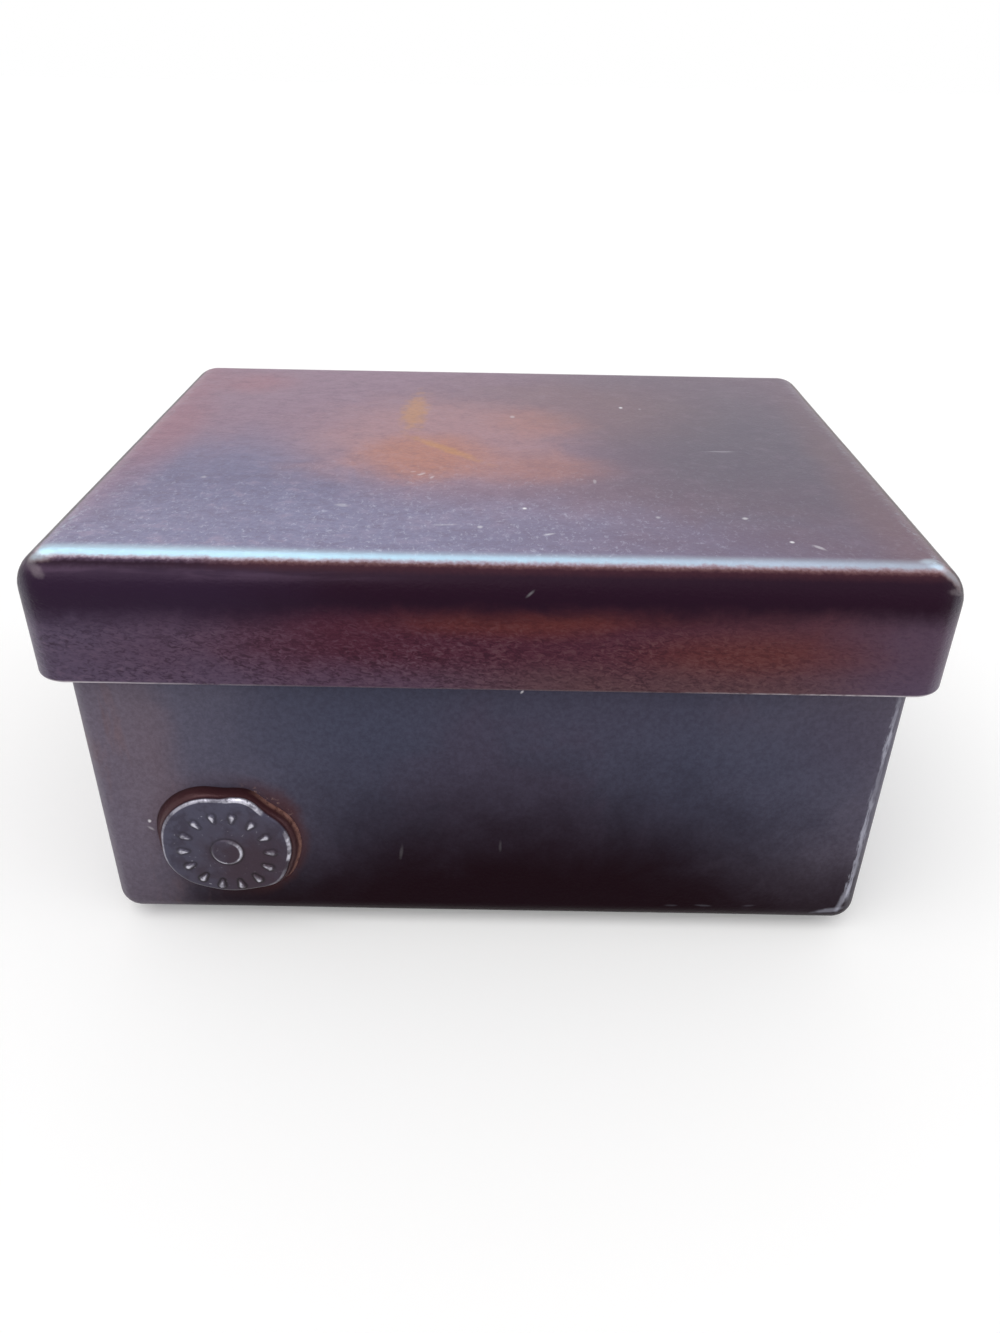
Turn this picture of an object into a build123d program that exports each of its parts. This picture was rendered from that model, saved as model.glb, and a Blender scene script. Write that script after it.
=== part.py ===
from build123d import *

import os
from math import cos, pi, radians, sin

# Metal trinket box with a lift-off lid.
# A plate-metal box with softened edges, a cap lid whose skirt hangs down over its rim,
# a cast round seal fixed low on the front, velvet-covered lining cards inside the box
# and under the lid, and four felt discs to stand on.
# Millimetres. +Z is up, the front with the seal faces -Y, and the origin is on the
# surface that the box stands on, under its middle. The lid is drawn closed.

# Box
base_width = 152.0  # outside, left to right
base_depth = 117.0  # outside, front to back
base_height = 78.7  # outside, underside to rim
base_plate = 2.5
base_edge_radius = 4.8  # upright corners and bottom edges
rim_edge_radius = 0.6  # worn arrises of the box's rim

# Lid
lid_plate = 3.0
lid_gap = 1.1  # all round, between the skirt and the box
skirt_depth = 20.1  # how far the skirt hangs below the box's rim
lid_edge_radius = 6.6  # upright corners and top edges
skirt_edge_radius = 0.7  # worn arrises of the skirt's lower edge

# Felt discs
foot_diameter = 14.0
foot_height = 2.0
foot_inset = 16.0  # from each outside wall to a disc's middle

# Lining cards
lining_gap = 0.15  # glue between a card and the metal beside it
floor_card = 2.0
wall_card = 1.6
lid_card = 2.0
lining_drop = 5.0  # from the rim down to the wall cards' top edges
card_seam = 0.1  # between neighbouring wall cards
card_edge_radius = 0.5  # where the velvet turns over a card's edge
lid_card_clearance = 1.6  # from the lid's card to the box's inside walls
lid_card_corner = 2.0

# Seal
seal_inset = 25.6  # from the box's left side to the seal's middle
seal_rise = 21.4  # from the box's underside to the seal's middle
seal_radius = 12.3
seal_thickness = 3.1
seal_reaches = (  # pressed by hand: the face's reach in radii, in equal turns from +X upwards
    1.015, 1.0, 0.935, 0.99, 0.92, 0.975, 1.01, 1.03,
    1.03, 1.07, 1.05, 0.98, 0.96, 0.975, 1.065, 1.02,
)
seal_flare_width = 1.0  # how much wider the seal is at its back
seal_lean_width = 0.6  # its back spreads this much more towards one side and its opposite
seal_lean_degrees = -25.0
seal_lip_radius = 0.8
lip_steps = 3
relief_height = 0.45  # how far the petals and the boss stand out of the face
boss_drop = 1.3  # the boss sits this much below the middle of the outline
boss_radius = 3.05
boss_bevel_width = 0.2
petal_count = 14
petal_ring_radius = 8.2
petal_length = 1.3  # between the centres of a petal's two ends
petal_outer_radius = 0.7
petal_inner_radius = 0.3

# Heights and inside sizes that follow
rim_z = foot_height + base_height
floor_z = foot_height + base_plate
lid_rim_z = rim_z - skirt_depth
lid_height = skirt_depth + lid_plate
skirt_width = base_width + 2 * lid_gap
skirt_length = base_depth + 2 * lid_gap
lid_width = skirt_width + 2 * lid_plate
lid_depth = skirt_length + 2 * lid_plate
inner_width = base_width - 2 * base_plate
inner_depth = base_depth - 2 * base_plate

# A rounded outside edge keeps metal over the square corner inside it
edge_limit = 2.4
least_corner = 0.5
outer_edge = min(base_edge_radius, edge_limit * base_plate)
lid_outer_edge = min(lid_edge_radius, edge_limit * lid_plate)
inner_corner = max(outer_edge - base_plate, least_corner)
skirt_corner = outer_edge + lid_gap
lid_root_bevel = 0.9 * lid_gap  # stays inside the gap, so that the rim seats flat

standing = (Align.CENTER, Align.CENTER, Align.MIN)


def level_faces(builder):
    """The flat level faces of the part being made, lowest first."""
    return builder.faces().filter_by(Plane.XY).sort_by(Axis.Z)


# Box shell: closed below, open above
with BuildPart() as base_shell:
    with Locations((0, 0, foot_height)):
        Box(base_width, base_depth, base_height, align=standing)
    uprights = base_shell.edges().filter_by(Axis.Z)
    fillet(uprights + level_faces(base_shell)[0].edges(), outer_edge)
    with BuildSketch(Plane.XY.offset(floor_z)):
        RectangleRounded(inner_width, inner_depth, inner_corner)
    extrude(amount=base_height, mode=Mode.SUBTRACT)
    fillet(level_faces(base_shell)[-1].edges(), rim_edge_radius)
base_shell.part.label = "base_shell"

# Lid shell: its flat ceiling rests on the box's rim
with BuildPart() as lid_shell:
    with Locations((0, 0, lid_rim_z)):
        Box(lid_width, lid_depth, lid_height, align=standing)
    uprights = lid_shell.edges().filter_by(Axis.Z)
    fillet(uprights + level_faces(lid_shell)[-1].edges(), lid_outer_edge)
    with BuildSketch(Plane.XY.offset(lid_rim_z)):
        RectangleRounded(skirt_width, skirt_length, skirt_corner)
    extrude(amount=skirt_depth, mode=Mode.SUBTRACT)
    chamfer(level_faces(lid_shell)[1].edges(), lid_root_bevel)
    fillet(level_faces(lid_shell)[0].edges(), skirt_edge_radius)
lid_shell.part.label = "lid_shell"


def outline_points(spread, lean):
    """The seal's outline, grown by spread all round and by lean towards two sides."""
    points = []
    for step, reach in enumerate(seal_reaches):
        turn = 360.0 * step / len(seal_reaches)
        grown = seal_radius * reach + spread + lean * cos(radians(2 * (turn - seal_lean_degrees)))
        points.append((grown * cos(radians(turn)), grown * sin(radians(turn))))
    return points


# Seal: a drafted blob with a rounded lip, a ring of raised petals and a raised boss
seal_back = Plane(
    origin=(seal_inset - base_width / 2, -base_depth / 2, foot_height + seal_rise),
    x_dir=(1, 0, 0),
    z_dir=(0, -1, 0),
)
boss_centre = seal_back.from_local_coords((0, -boss_drop, seal_thickness))
seal_face = Plane(origin=boss_centre, x_dir=(1, 0, 0), z_dir=(0, -1, 0))
seal_sections = [(0.0, seal_flare_width, seal_lean_width)]
for step in range(lip_steps + 1):
    angle = pi / 2 * step / lip_steps
    height = seal_thickness - seal_lip_radius * (1 - sin(angle))
    seal_sections.append((height, -seal_lip_radius * (1 - cos(angle)), 0.0))

with BuildSketch() as petal:
    with Locations((petal_length / 2, 0)):
        Circle(petal_outer_radius)
    with Locations((-petal_length / 2, 0)):
        Circle(petal_inner_radius)
    make_hull()

with BuildPart() as seal_medallion:
    for height, spread, lean in seal_sections:
        with BuildSketch(seal_back.offset(height)):
            with BuildLine():
                Spline(*outline_points(spread, lean), periodic=True)
            make_face()
    loft(ruled=True)
    with BuildSketch(seal_face):
        with PolarLocations(petal_ring_radius, petal_count):
            add(petal.sketch)
    extrude(amount=relief_height)
    with BuildSketch(seal_face):
        Circle(boss_radius)
    extrude(amount=relief_height)
    rounds = seal_medallion.edges().filter_by(GeomType.CIRCLE)
    boss_rim = rounds.group_by(SortBy.LENGTH)[-1].sort_by(Axis.Y)[0]
    chamfer(boss_rim, boss_bevel_width)
seal_medallion.part.label = "seal_medallion"

# Floor card: lies on the box's floor
with BuildPart() as floor_lining:
    with BuildSketch(Plane.XY.offset(floor_z)):
        RectangleRounded(inner_width - 2 * lining_gap, inner_depth - 2 * lining_gap, inner_corner)
    extrude(amount=floor_card)
floor_lining.part.label = "floor_lining"

# Wall cards: stand on the floor card, and meet at the inside corners
wall_card_z = floor_z + floor_card
wall_card_height = rim_z - lining_drop - wall_card_z
wall_linings = []
for name, turn, reach, across in (
    ("front_lining", 0, inner_depth, inner_width),
    ("right_lining", 90, inner_width, inner_depth),
    ("back_lining", 180, inner_depth, inner_width),
    ("left_lining", 270, inner_width, inner_depth),
):
    glued_y = -reach / 2 + lining_gap
    velvet_y = glued_y + wall_card
    glued_half = across / 2 - inner_corner - lining_gap
    velvet_half = across / 2 - lining_gap - wall_card - card_seam / 2
    with BuildPart() as wall_lining:
        with BuildSketch(Plane.XY.offset(wall_card_z).rotated((0, 0, turn))):
            with BuildLine():
                Polyline(
                    (-glued_half, glued_y),
                    (glued_half, glued_y),
                    (velvet_half, velvet_y),
                    (-velvet_half, velvet_y),
                    close=True,
                )
            make_face()
        extrude(amount=wall_card_height)
        long_edges = level_faces(wall_lining)[-1].edges().sort_by(SortBy.LENGTH)[-2:]
        fillet(long_edges, card_edge_radius)
    wall_lining.part.label = name
    wall_linings.append(wall_lining.part)

# Lid card: glued under the lid, and drops just inside the box's rim
with BuildPart() as lid_lining:
    with BuildSketch(Plane.XY.offset(rim_z)):
        RectangleRounded(
            inner_width - 2 * lid_card_clearance,
            inner_depth - 2 * lid_card_clearance,
            lid_card_corner,
        )
    extrude(amount=-lid_card)
    chamfer(level_faces(lid_lining)[0].edges(), card_edge_radius)
lid_lining.part.label = "lid_lining"

# Felt discs under the four corners
foot_pads = []
for name, side, end in (
    ("foot_pad_front_left", -1, -1),
    ("foot_pad_front_right", 1, -1),
    ("foot_pad_back_left", -1, 1),
    ("foot_pad_back_right", 1, 1),
):
    pad_x = side * (base_width / 2 - foot_inset)
    pad_y = end * (base_depth / 2 - foot_inset)
    with BuildPart() as foot_pad:
        with Locations((pad_x, pad_y, 0)):
            Cylinder(foot_diameter / 2, foot_height, align=standing)
    foot_pad.part.label = name
    foot_pads.append(foot_pad.part)

os.makedirs("parts", exist_ok=True)
export_step(base_shell.part, "parts/base_shell.step")
export_step(lid_shell.part, "parts/lid_shell.step")
export_step(seal_medallion.part, "parts/seal_medallion.step")
export_step(floor_lining.part, "parts/floor_lining.step")
export_step(lid_lining.part, "parts/lid_lining.step")
for piece in wall_linings + foot_pads:
    export_step(piece, f"parts/{piece.label}.step")
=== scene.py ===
from math import cos, hypot, pi, radians, sin

import bmesh
import bpy
import numpy as np
from mathutils import Matrix, Vector, noise


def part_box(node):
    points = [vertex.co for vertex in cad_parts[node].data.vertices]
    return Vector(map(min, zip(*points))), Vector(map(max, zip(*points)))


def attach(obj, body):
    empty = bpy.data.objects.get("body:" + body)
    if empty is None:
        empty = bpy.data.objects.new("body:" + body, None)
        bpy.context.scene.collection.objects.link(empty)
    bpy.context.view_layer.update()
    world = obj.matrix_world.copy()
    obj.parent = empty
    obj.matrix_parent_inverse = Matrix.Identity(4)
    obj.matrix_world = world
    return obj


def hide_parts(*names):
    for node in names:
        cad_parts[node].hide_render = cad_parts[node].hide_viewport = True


# A plate-metal trinket box with a lift-off lid, a cast seal low on its front and a velvet lining.
# Sizes in the dictionaries are millimetres, unless a note says otherwise. The scene is in metres.

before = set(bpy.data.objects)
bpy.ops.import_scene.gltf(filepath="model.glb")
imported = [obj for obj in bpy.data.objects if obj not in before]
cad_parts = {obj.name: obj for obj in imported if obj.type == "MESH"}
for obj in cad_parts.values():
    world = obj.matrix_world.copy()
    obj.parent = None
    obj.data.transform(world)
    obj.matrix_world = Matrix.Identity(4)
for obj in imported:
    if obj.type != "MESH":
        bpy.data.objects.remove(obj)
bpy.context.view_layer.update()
print("frame loaded:", len(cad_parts), "nodes")

mm = 0.001


def addObject(name, data):
    made = bpy.data.objects.new(name, data)
    bpy.context.scene.collection.objects.link(made)
    return made


camera = {
    "position": (0.001426, -0.21018, 0.15485),  # metres
    "turn": 0.0024,  # to the right of straight ahead, radians
    "tilt": 0.5433,  # downwards
    "roll": 0.0189,
    "lens": 27.28,
    "sensor": 36.0,
    "nearest": 0.01,  # metres
}


def makeCamera():
    data = bpy.data.cameras.new("photoCamera")
    data.lens = camera["lens"]
    data.sensor_width = camera["sensor"]
    data.clip_start = camera["nearest"]
    turned = Matrix.Rotation(-camera["turn"], 4, "Z")
    turned = turned @ Matrix.Rotation(pi / 2 - camera["tilt"], 4, "X")
    turned = turned @ Matrix.Rotation(camera["roll"], 4, "Z")
    taker = addObject("photoCamera", data)
    taker.matrix_world = Matrix.Translation(camera["position"]) @ turned
    bpy.context.scene.camera = taker


makeCamera()
print("camera placed")


class Socket:
    # an output of a node; arithmetic on it adds Math nodes
    def __init__(self, graph, output):
        self.graph = graph
        self.output = output

    def math(self, operation, first, second):
        return self.graph.node("ShaderNodeMath", {"operation": operation}, {0: first, 1: second})

    def __add__(self, other):
        return self.math("ADD", self, other)

    def __sub__(self, other):
        return self.math("SUBTRACT", self, other)

    def __rsub__(self, other):
        return self.math("SUBTRACT", other, self)

    def __mul__(self, other):
        return self.math("MULTIPLY", self, other)

    def __abs__(self):
        return self.math("ABSOLUTE", self, 0.0)

    __radd__, __rmul__ = __add__, __mul__


class Graph:
    def __init__(self, tree):
        self.tree = tree

    def node(self, kind, settings=None, sockets=None, output=0):
        made = self.tree.nodes.new(kind)
        for name, value in (settings or {}).items():
            setattr(made, name, value)
        for name, value in (sockets or {}).items():
            if isinstance(value, Socket):
                self.tree.links.new(value.output, made.inputs[name])
            else:
                made.inputs[name].default_value = value
        return Socket(self, made.outputs[output]) if made.outputs else None

    def ray(self, kind):
        # 1 for rays of one kind, such as those straight from the camera
        return self.node("ShaderNodeLightPath", output=f"Is {kind} Ray")


class Finish(Graph):
    # a material, and the few ways of painting that this box needs
    def __init__(self, name, constants):
        self.material = bpy.data.materials.new(name)
        self.material.use_nodes = True
        super().__init__(self.material.node_tree)
        self.shader = self.tree.nodes["Principled BSDF"]
        for socket, value in constants.items():
            self.shader.inputs[socket].default_value = value
        place = self.node("ShaderNodeTexCoord", output="Object")
        scale = {0: place, "Scale": 1 / mm}
        self.point = self.node("ShaderNodeVectorMath", {"operation": "SCALE"}, scale)
        self.x, self.y, self.z = (
            self.node("ShaderNodeSeparateXYZ", sockets={0: self.point}, output=axis)
            for axis in ("X", "Y", "Z")
        )

    def mark(self, name):
        # a number stored on the mesh's points
        return self.node("ShaderNodeAttribute", {"attribute_name": name}, output="Fac")

    def facing(self, axis):
        # how far the surface faces along an axis of the piece
        normal = self.node("ShaderNodeTexCoord", output="Normal")
        return self.node("ShaderNodeSeparateXYZ", sockets={0: normal}, output=axis)

    def upright(self):
        # 0 on the flat faces and 1 along the upright corners
        both = abs(self.facing("X")) * abs(self.facing("Y"))
        return self.between(both, 0.3, 0.5)

    def between(self, value, low, high):
        # 0 at low and 1 at high, with a soft start and end
        limits = {"Value": value, "From Min": low, "From Max": high}
        return self.node("ShaderNodeMapRange", {"interpolation_type": "SMOOTHSTEP"}, limits)

    def placed(self, middle, reach, turn):
        # the point as seen from middle, in units of reach
        spin = tuple(radians(angle) for angle in turn)
        sockets = {0: self.point, "Location": middle, "Scale": reach, "Rotation": spin}
        return self.node("ShaderNodeMapping", {"vector_type": "TEXTURE"}, sockets)

    def noise(self, size, detail, rough, warp=0.0, stretch=(1, 1, 1), shift=0, turn=(0, 0, 0)):
        # size is about one blotch, and shift moves it away from other noises
        sockets = {
            "Vector": self.placed((shift, shift, shift), stretch, turn),
            "Scale": 1 / size, "Detail": detail, "Roughness": rough, "Distortion": warp,
        }
        return self.node("ShaderNodeTexNoise", sockets=sockets)

    def away(self, middle, reach, turn=(0, 0, 0)):
        # 0 at middle and 1 on an egg shape round it
        placed = self.placed(middle, reach, turn)
        return self.node("ShaderNodeVectorMath", {"operation": "LENGTH"}, {0: placed}, "Value")

    def spot(self, middle, reach, soft, ragged=0.0, turn=(0, 0, 0)):
        # 1 inside an egg shape and 0 outside it
        return self.between(self.away(middle, reach, turn) + ragged, 1 + soft, 1 - soft)

    def mix(self, mask, under, over):
        sockets = {0: mask, 6: under, 7: over}
        return self.node("ShaderNodeMix", {"data_type": "RGBA"}, sockets, output=2)

    def lay(self, under, colours, patches, ragged):
        # cloudy patches, one over the other: colour, middle, reach, strength and softness
        for colour, middle, reach, strength, soft in patches:
            patch = self.spot(middle, reach, soft, ragged)
            under = self.mix(patch * strength, under, colours[colour])
        return under

    def marks(self, marks, ragged):
        # small marks added up: middle, reach, strength, and a turn where there is one
        total = 0.0
        for middle, reach, strength, *turn in marks:
            total = self.spot(middle, reach, 0.6, ragged, *turn) * strength + total
        return total

    def bump(self, height, distance, strength, normal=None):
        sockets = {"Height": height, "Distance": distance * mm, "Strength": strength}
        if normal:
            sockets["Normal"] = normal
        return self.node("ShaderNodeBump", sockets=sockets)

    def paint(self, **links):
        for name, value in links.items():
            self.tree.links.new(value.output, self.shader.inputs[name.replace("_", " ")])


def sway(noise, amount):
    # a noise, 0 to 1, as a swing of half the amount to either side
    return (noise - 0.5) * amount


def tint(red, green, blue):
    # a colour as it looks on a screen, 0 to 255, for a node
    shares = [value / 255 for value in (red, green, blue)]
    return tuple(s / 12.92 if s < 0.04045 else ((s + 0.055) / 1.055) ** 2.4 for s in shares) + (1.0,)


def tints(colours):
    return {name: tint(*colour) for name, colour in colours.items()}


studio = {
    "around": 0.62,  # soft light from every side
    "suns": {
        "key": {"strength": 1.15, "size": 55, "height": 58, "turn": -35, "colour": (1.0, 0.985, 0.97)},
        "fill": {"strength": 0.55, "size": 70, "height": 35, "turn": 60, "colour": (0.96, 0.98, 1.0)},
    },
    # tall windows behind the box, seen only in its gloss; low and high are degrees above mirrorEdge
    "windows": {
        "windowLeft": {
            "radiance": 0.75, "away": 0.62, "low": 36, "high": 70, "left": -1.1, "right": 0.1,
            "colour": (0.25, 1.0, 0.9),
        },
        "windowWide": {
            "radiance": 0.8, "away": 0.66, "low": 36, "high": 68, "left": -1.1, "right": 0.75,
            "colour": (0.78, 0.84, 1.0),
        },
    },
    "mirrorEdge": (0, -0.058, 0.0832),  # the middle of the lid's front edge, metres
    "floorSize": 14.0,  # metres
    "paper": {
        "Base Color": (0.86, 0.86, 0.86, 1), "Roughness": 0.9,
        "Specular IOR Level": 0.0, "Emission Strength": 1.0,
    },
    "paperLift": 0.18,  # added where the camera or a gloss sees the floor
}


def makeSun(name, sun):
    data = bpy.data.lights.new(name, "SUN")
    data.energy = sun["strength"]
    data.angle = radians(sun["size"])
    data.color = sun["colour"]
    lamp = addObject(name, data)
    lamp.rotation_euler = (radians(90 - sun["height"]), 0, radians(sun["turn"]))
    lamp.visible_camera = False


def makeWindow(name, window):
    # spans the heights that the lid's front edge mirrors towards the photographer
    edge = Vector(studio["mirrorEdge"])
    low, high = radians(window["low"]), radians(window["high"])
    bottom = edge + window["away"] * Vector((0, cos(low), sin(low)))
    top = edge + window["away"] * Vector((0, cos(high), sin(high)))
    middle = (bottom + top) / 2
    middle.x = (window["left"] + window["right"]) / 2
    facing = middle - edge
    facing.x = 0
    data = bpy.data.lights.new(name, "AREA")
    data.shape = "RECTANGLE"
    data.size = window["right"] - window["left"]
    data.size_y = (top - bottom).length
    data.energy = window["radiance"] * data.size * data.size_y * pi
    data.color = window["colour"]
    lamp = addObject(name, data)
    turned = facing.to_track_quat("Z", "Y").to_matrix().to_4x4()
    lamp.matrix_world = Matrix.Translation(middle) @ turned
    lamp.visible_camera = False
    lamp.visible_diffuse = False


def makeWorld():
    world = bpy.data.worlds.new("studio")
    world.use_nodes = True
    world.node_tree.nodes.clear()
    sky = Graph(world.node_tree)
    seen = sky.ray("Camera")
    for kind in ("Glossy", "Transmission"):
        seen = sky.node("ShaderNodeMath", {"operation": "MAXIMUM"}, {0: seen, 1: sky.ray(kind)})
    strength = studio["around"] + seen * (1 - studio["around"])
    white = {"Color": (1, 1, 1, 1), "Strength": strength}
    glow = sky.node("ShaderNodeBackground", sockets=white)
    sky.node("ShaderNodeOutputWorld", sockets={"Surface": glow})
    bpy.context.scene.world = world


def makeFloor():
    half = studio["floorSize"] / 2
    mesh = bpy.data.meshes.new("floor")
    corners = [(-half, -half, 0), (half, -half, 0), (half, half, 0), (-half, half, 0)]
    mesh.from_pydata(corners, [], [(0, 1, 2, 3)])
    floor = addObject("floor", mesh)
    paper = Finish("floorPaper", studio["paper"])
    lift = (paper.ray("Camera") + paper.ray("Glossy")) * studio["paperLift"]
    paper.paint(Emission_Color=paper.mix(lift, (0, 0, 0, 1), (1, 1, 1, 1)))
    mesh.materials.append(paper.material)


for sunName, sun in studio["suns"].items():
    makeSun(sunName, sun)
for windowName, window in studio["windows"].items():
    makeWindow(windowName, window)
makeWorld()
makeFloor()
bpy.context.scene.view_settings.view_transform = "Standard"
print("studio lit")


def arc(count):
    # the angles of a quarter turn, both ends included
    return [pi / 2 * step / count for step in range(count + 1)]


def limits(node):
    low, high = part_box(node)
    return low / mm, high / mm


def makeRing(x, y, radius, z, **marks):
    # a level rounded rectangle: its half sizes, its corner radius, its height and its marks
    return {"x": x, "y": y, "radius": radius, "z": z, **marks}


def ringPoints(ring, steps):
    # the ring's points, from the back right corner round by the left
    radius = ring["radius"]
    corners = ((1, 1), (-1, 1), (-1, -1), (1, -1))
    middles = [
        Vector((signX * (ring["x"] - radius), signY * (ring["y"] - radius), ring["z"]))
        for signX, signY in corners
    ]
    points = []
    for side, middle in enumerate(middles):
        for step in range(steps["corner"] + 1):
            angle = (side + step / steps["corner"]) * pi / 2
            points.append(middle + Vector((radius * cos(angle), radius * sin(angle), 0)))
        ahead = (side + 1) * pi / 2
        target = middles[(side + 1) % 4] + Vector((radius * cos(ahead), radius * sin(ahead), 0))
        count = steps["across"] if side % 2 == 0 else steps["along"]
        start = points[-1].copy()
        points += [start.lerp(target, step / count) for step in range(1, count)]
    return points


def closeRing(mesh, ring, steps, addPoint):
    # a grid over one end of a stack of rings; crown lifts its middle
    grid = []
    for row in range(steps["along"] + 1):
        y = ring["y"] * (2 * row / steps["along"] - 1)
        line = []
        for column in range(steps["across"] + 1):
            x = ring["x"] * (2 * column / steps["across"] - 1)
            fall = (1 - (x / ring["x"]) ** 4) * (1 - (y / ring["y"]) ** 4)
            line.append(addPoint(Vector((x, y, ring["z"] + ring.get("crown", 0.0) * fall)), ring))
        grid.append(line)
    for near, far in zip(grid, grid[1:]):
        for column in range(steps["across"]):
            mesh.faces.new((near[column], near[column + 1], far[column + 1], far[column]))


mesher = {
    "weld": 0.002,  # points nearer than this are one
    "sliver": 0.001,  # edges shorter than this go
    "shading": 60,  # above 50, large faces count for more
}


def buildRings(name, rings, steps, marks=(), place=None, uneven=None):
    # skins a stack of rings and closes its two ends
    mesh = bmesh.new()
    layers = {mark: mesh.verts.layers.float.new(mark) for mark in marks}

    def addPoint(spot, ring):
        vert = mesh.verts.new(spot * mm)
        for mark, layer in layers.items():
            vert[layer] = ring.get(mark, 0.0)
        return vert

    loops = [[addPoint(point, ring) for point in ringPoints(ring, steps)] for ring in rings]
    for lower, upper in zip(loops, loops[1:]):
        for index in range(len(lower)):
            after = (index + 1) % len(lower)
            mesh.faces.new((lower[index], lower[after], upper[after], upper[index]))
    closeRing(mesh, rings[0], steps, addPoint)
    closeRing(mesh, rings[-1], steps, addPoint)
    bmesh.ops.remove_doubles(mesh, verts=mesh.verts, dist=mesher["weld"] * mm)
    bmesh.ops.dissolve_degenerate(mesh, edges=mesh.edges, dist=mesher["sliver"] * mm)
    bmesh.ops.recalc_face_normals(mesh, faces=mesh.faces)
    if uneven:
        mesh.normal_update()
        moved = [(vert, uneven(vert, layers)) for vert in mesh.verts]
        for vert, depth in moved:
            vert.co = vert.co - vert.normal * (depth * mm)
    if place:
        mesh.transform(place)
    return finishMesh(name, mesh)


def finishMesh(name, mesh):
    data = bpy.data.meshes.new(name)
    for face in mesh.faces:
        face.smooth = True
    mesh.to_mesh(data)
    mesh.free()
    piece = addObject(name, data)
    even = piece.modifiers.new("evenShading", "WEIGHTED_NORMAL")
    even.weight = mesher["shading"]
    return piece


def mount(piece, finish, body, node):
    # the piece stands for a node of the frame
    piece.data.materials.append(finish)
    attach(piece, body)
    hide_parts(node)


plate = {
    "steps": {"corner": 12, "across": 76, "along": 60},  # round a corner and along the sides
    "waves": ((31, (3, 7, 1), 0.035), (9, (11, 2, 5), 0.014)),  # size, shift and depth
    "insideLimit": 0.01,  # points marked inside by more than this stay true
}


def trayRings(tray, halfX, halfY, closed, rim):
    # from the middle of the closed side, round the edge, over the rim and back inside
    edge, arris, thick = tray["edge"], tray["arris"], tray["plate"]
    corner, bevel = tray["insideCorner"], tray["insideBevel"]
    way = 1 if rim > closed else -1
    wallStart, wallEnd = closed + way * edge, rim - way * arris
    rings = []

    def add(*sizes, **marks):
        rings.append(makeRing(*sizes, **marks))

    add(halfX - edge, halfY - edge, 0, closed)
    for angle in arc(tray["edgeSteps"])[1:]:
        inset = edge * (1 - sin(angle))
        z = closed + way * edge * (1 - cos(angle))
        add(halfX - inset, halfY - inset, edge - inset, z)
    for level in range(1, tray["levels"]):
        z = wallStart + (wallEnd - wallStart) * level / tray["levels"]
        add(halfX, halfY, edge, z)
    for angle in arc(tray["arrisSteps"]):
        inset = arris * (1 - cos(angle))
        z = wallEnd + way * arris * sin(angle)
        worn = min(1.0, 2 * sin(angle))
        add(halfX - inset, halfY - inset, edge - inset, z, worn=worn)
    innerX, innerY = halfX - thick, halfY - thick
    for angle in reversed(arc(tray["arrisSteps"])):
        out = arris * (1 - cos(angle))
        z = wallEnd + way * arris * sin(angle)
        marks = {"worn": sin(angle), "inside": 1 - sin(angle)}
        add(innerX + out, innerY + out, corner + out, z, **marks)
    depth = closed + way * thick
    if bevel:
        add(innerX, innerY, corner, depth + way * bevel, inside=1.0)
    add(innerX - bevel, innerY - bevel, corner - bevel, depth, inside=1.0)
    add(innerX - corner, innerY - corner, 0, depth, inside=1.0)
    return rings


def handmade(vert, layers):
    # plate that was beaten and ground by hand is never quite true; it only ever falls inwards
    depth = 0.0
    if vert[layers["inside"]] <= plate["insideLimit"]:
        for size, shift, deep in plate["waves"]:
            depth += deep * (1 + noise.noise(vert.co / mm / size + Vector(shift)))
    return depth


def makeTray(name, tray, finish, body, node):
    low, high = limits(node)
    closed, rim = (high.z, low.z) if tray["opensDown"] else (low.z, high.z)
    rings = trayRings(tray, high.x, high.y, closed, rim)
    piece = buildRings(name, rings, plate["steps"], ("worn", "inside"), uneven=handmade)
    mount(piece, finish, body, node)


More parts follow.
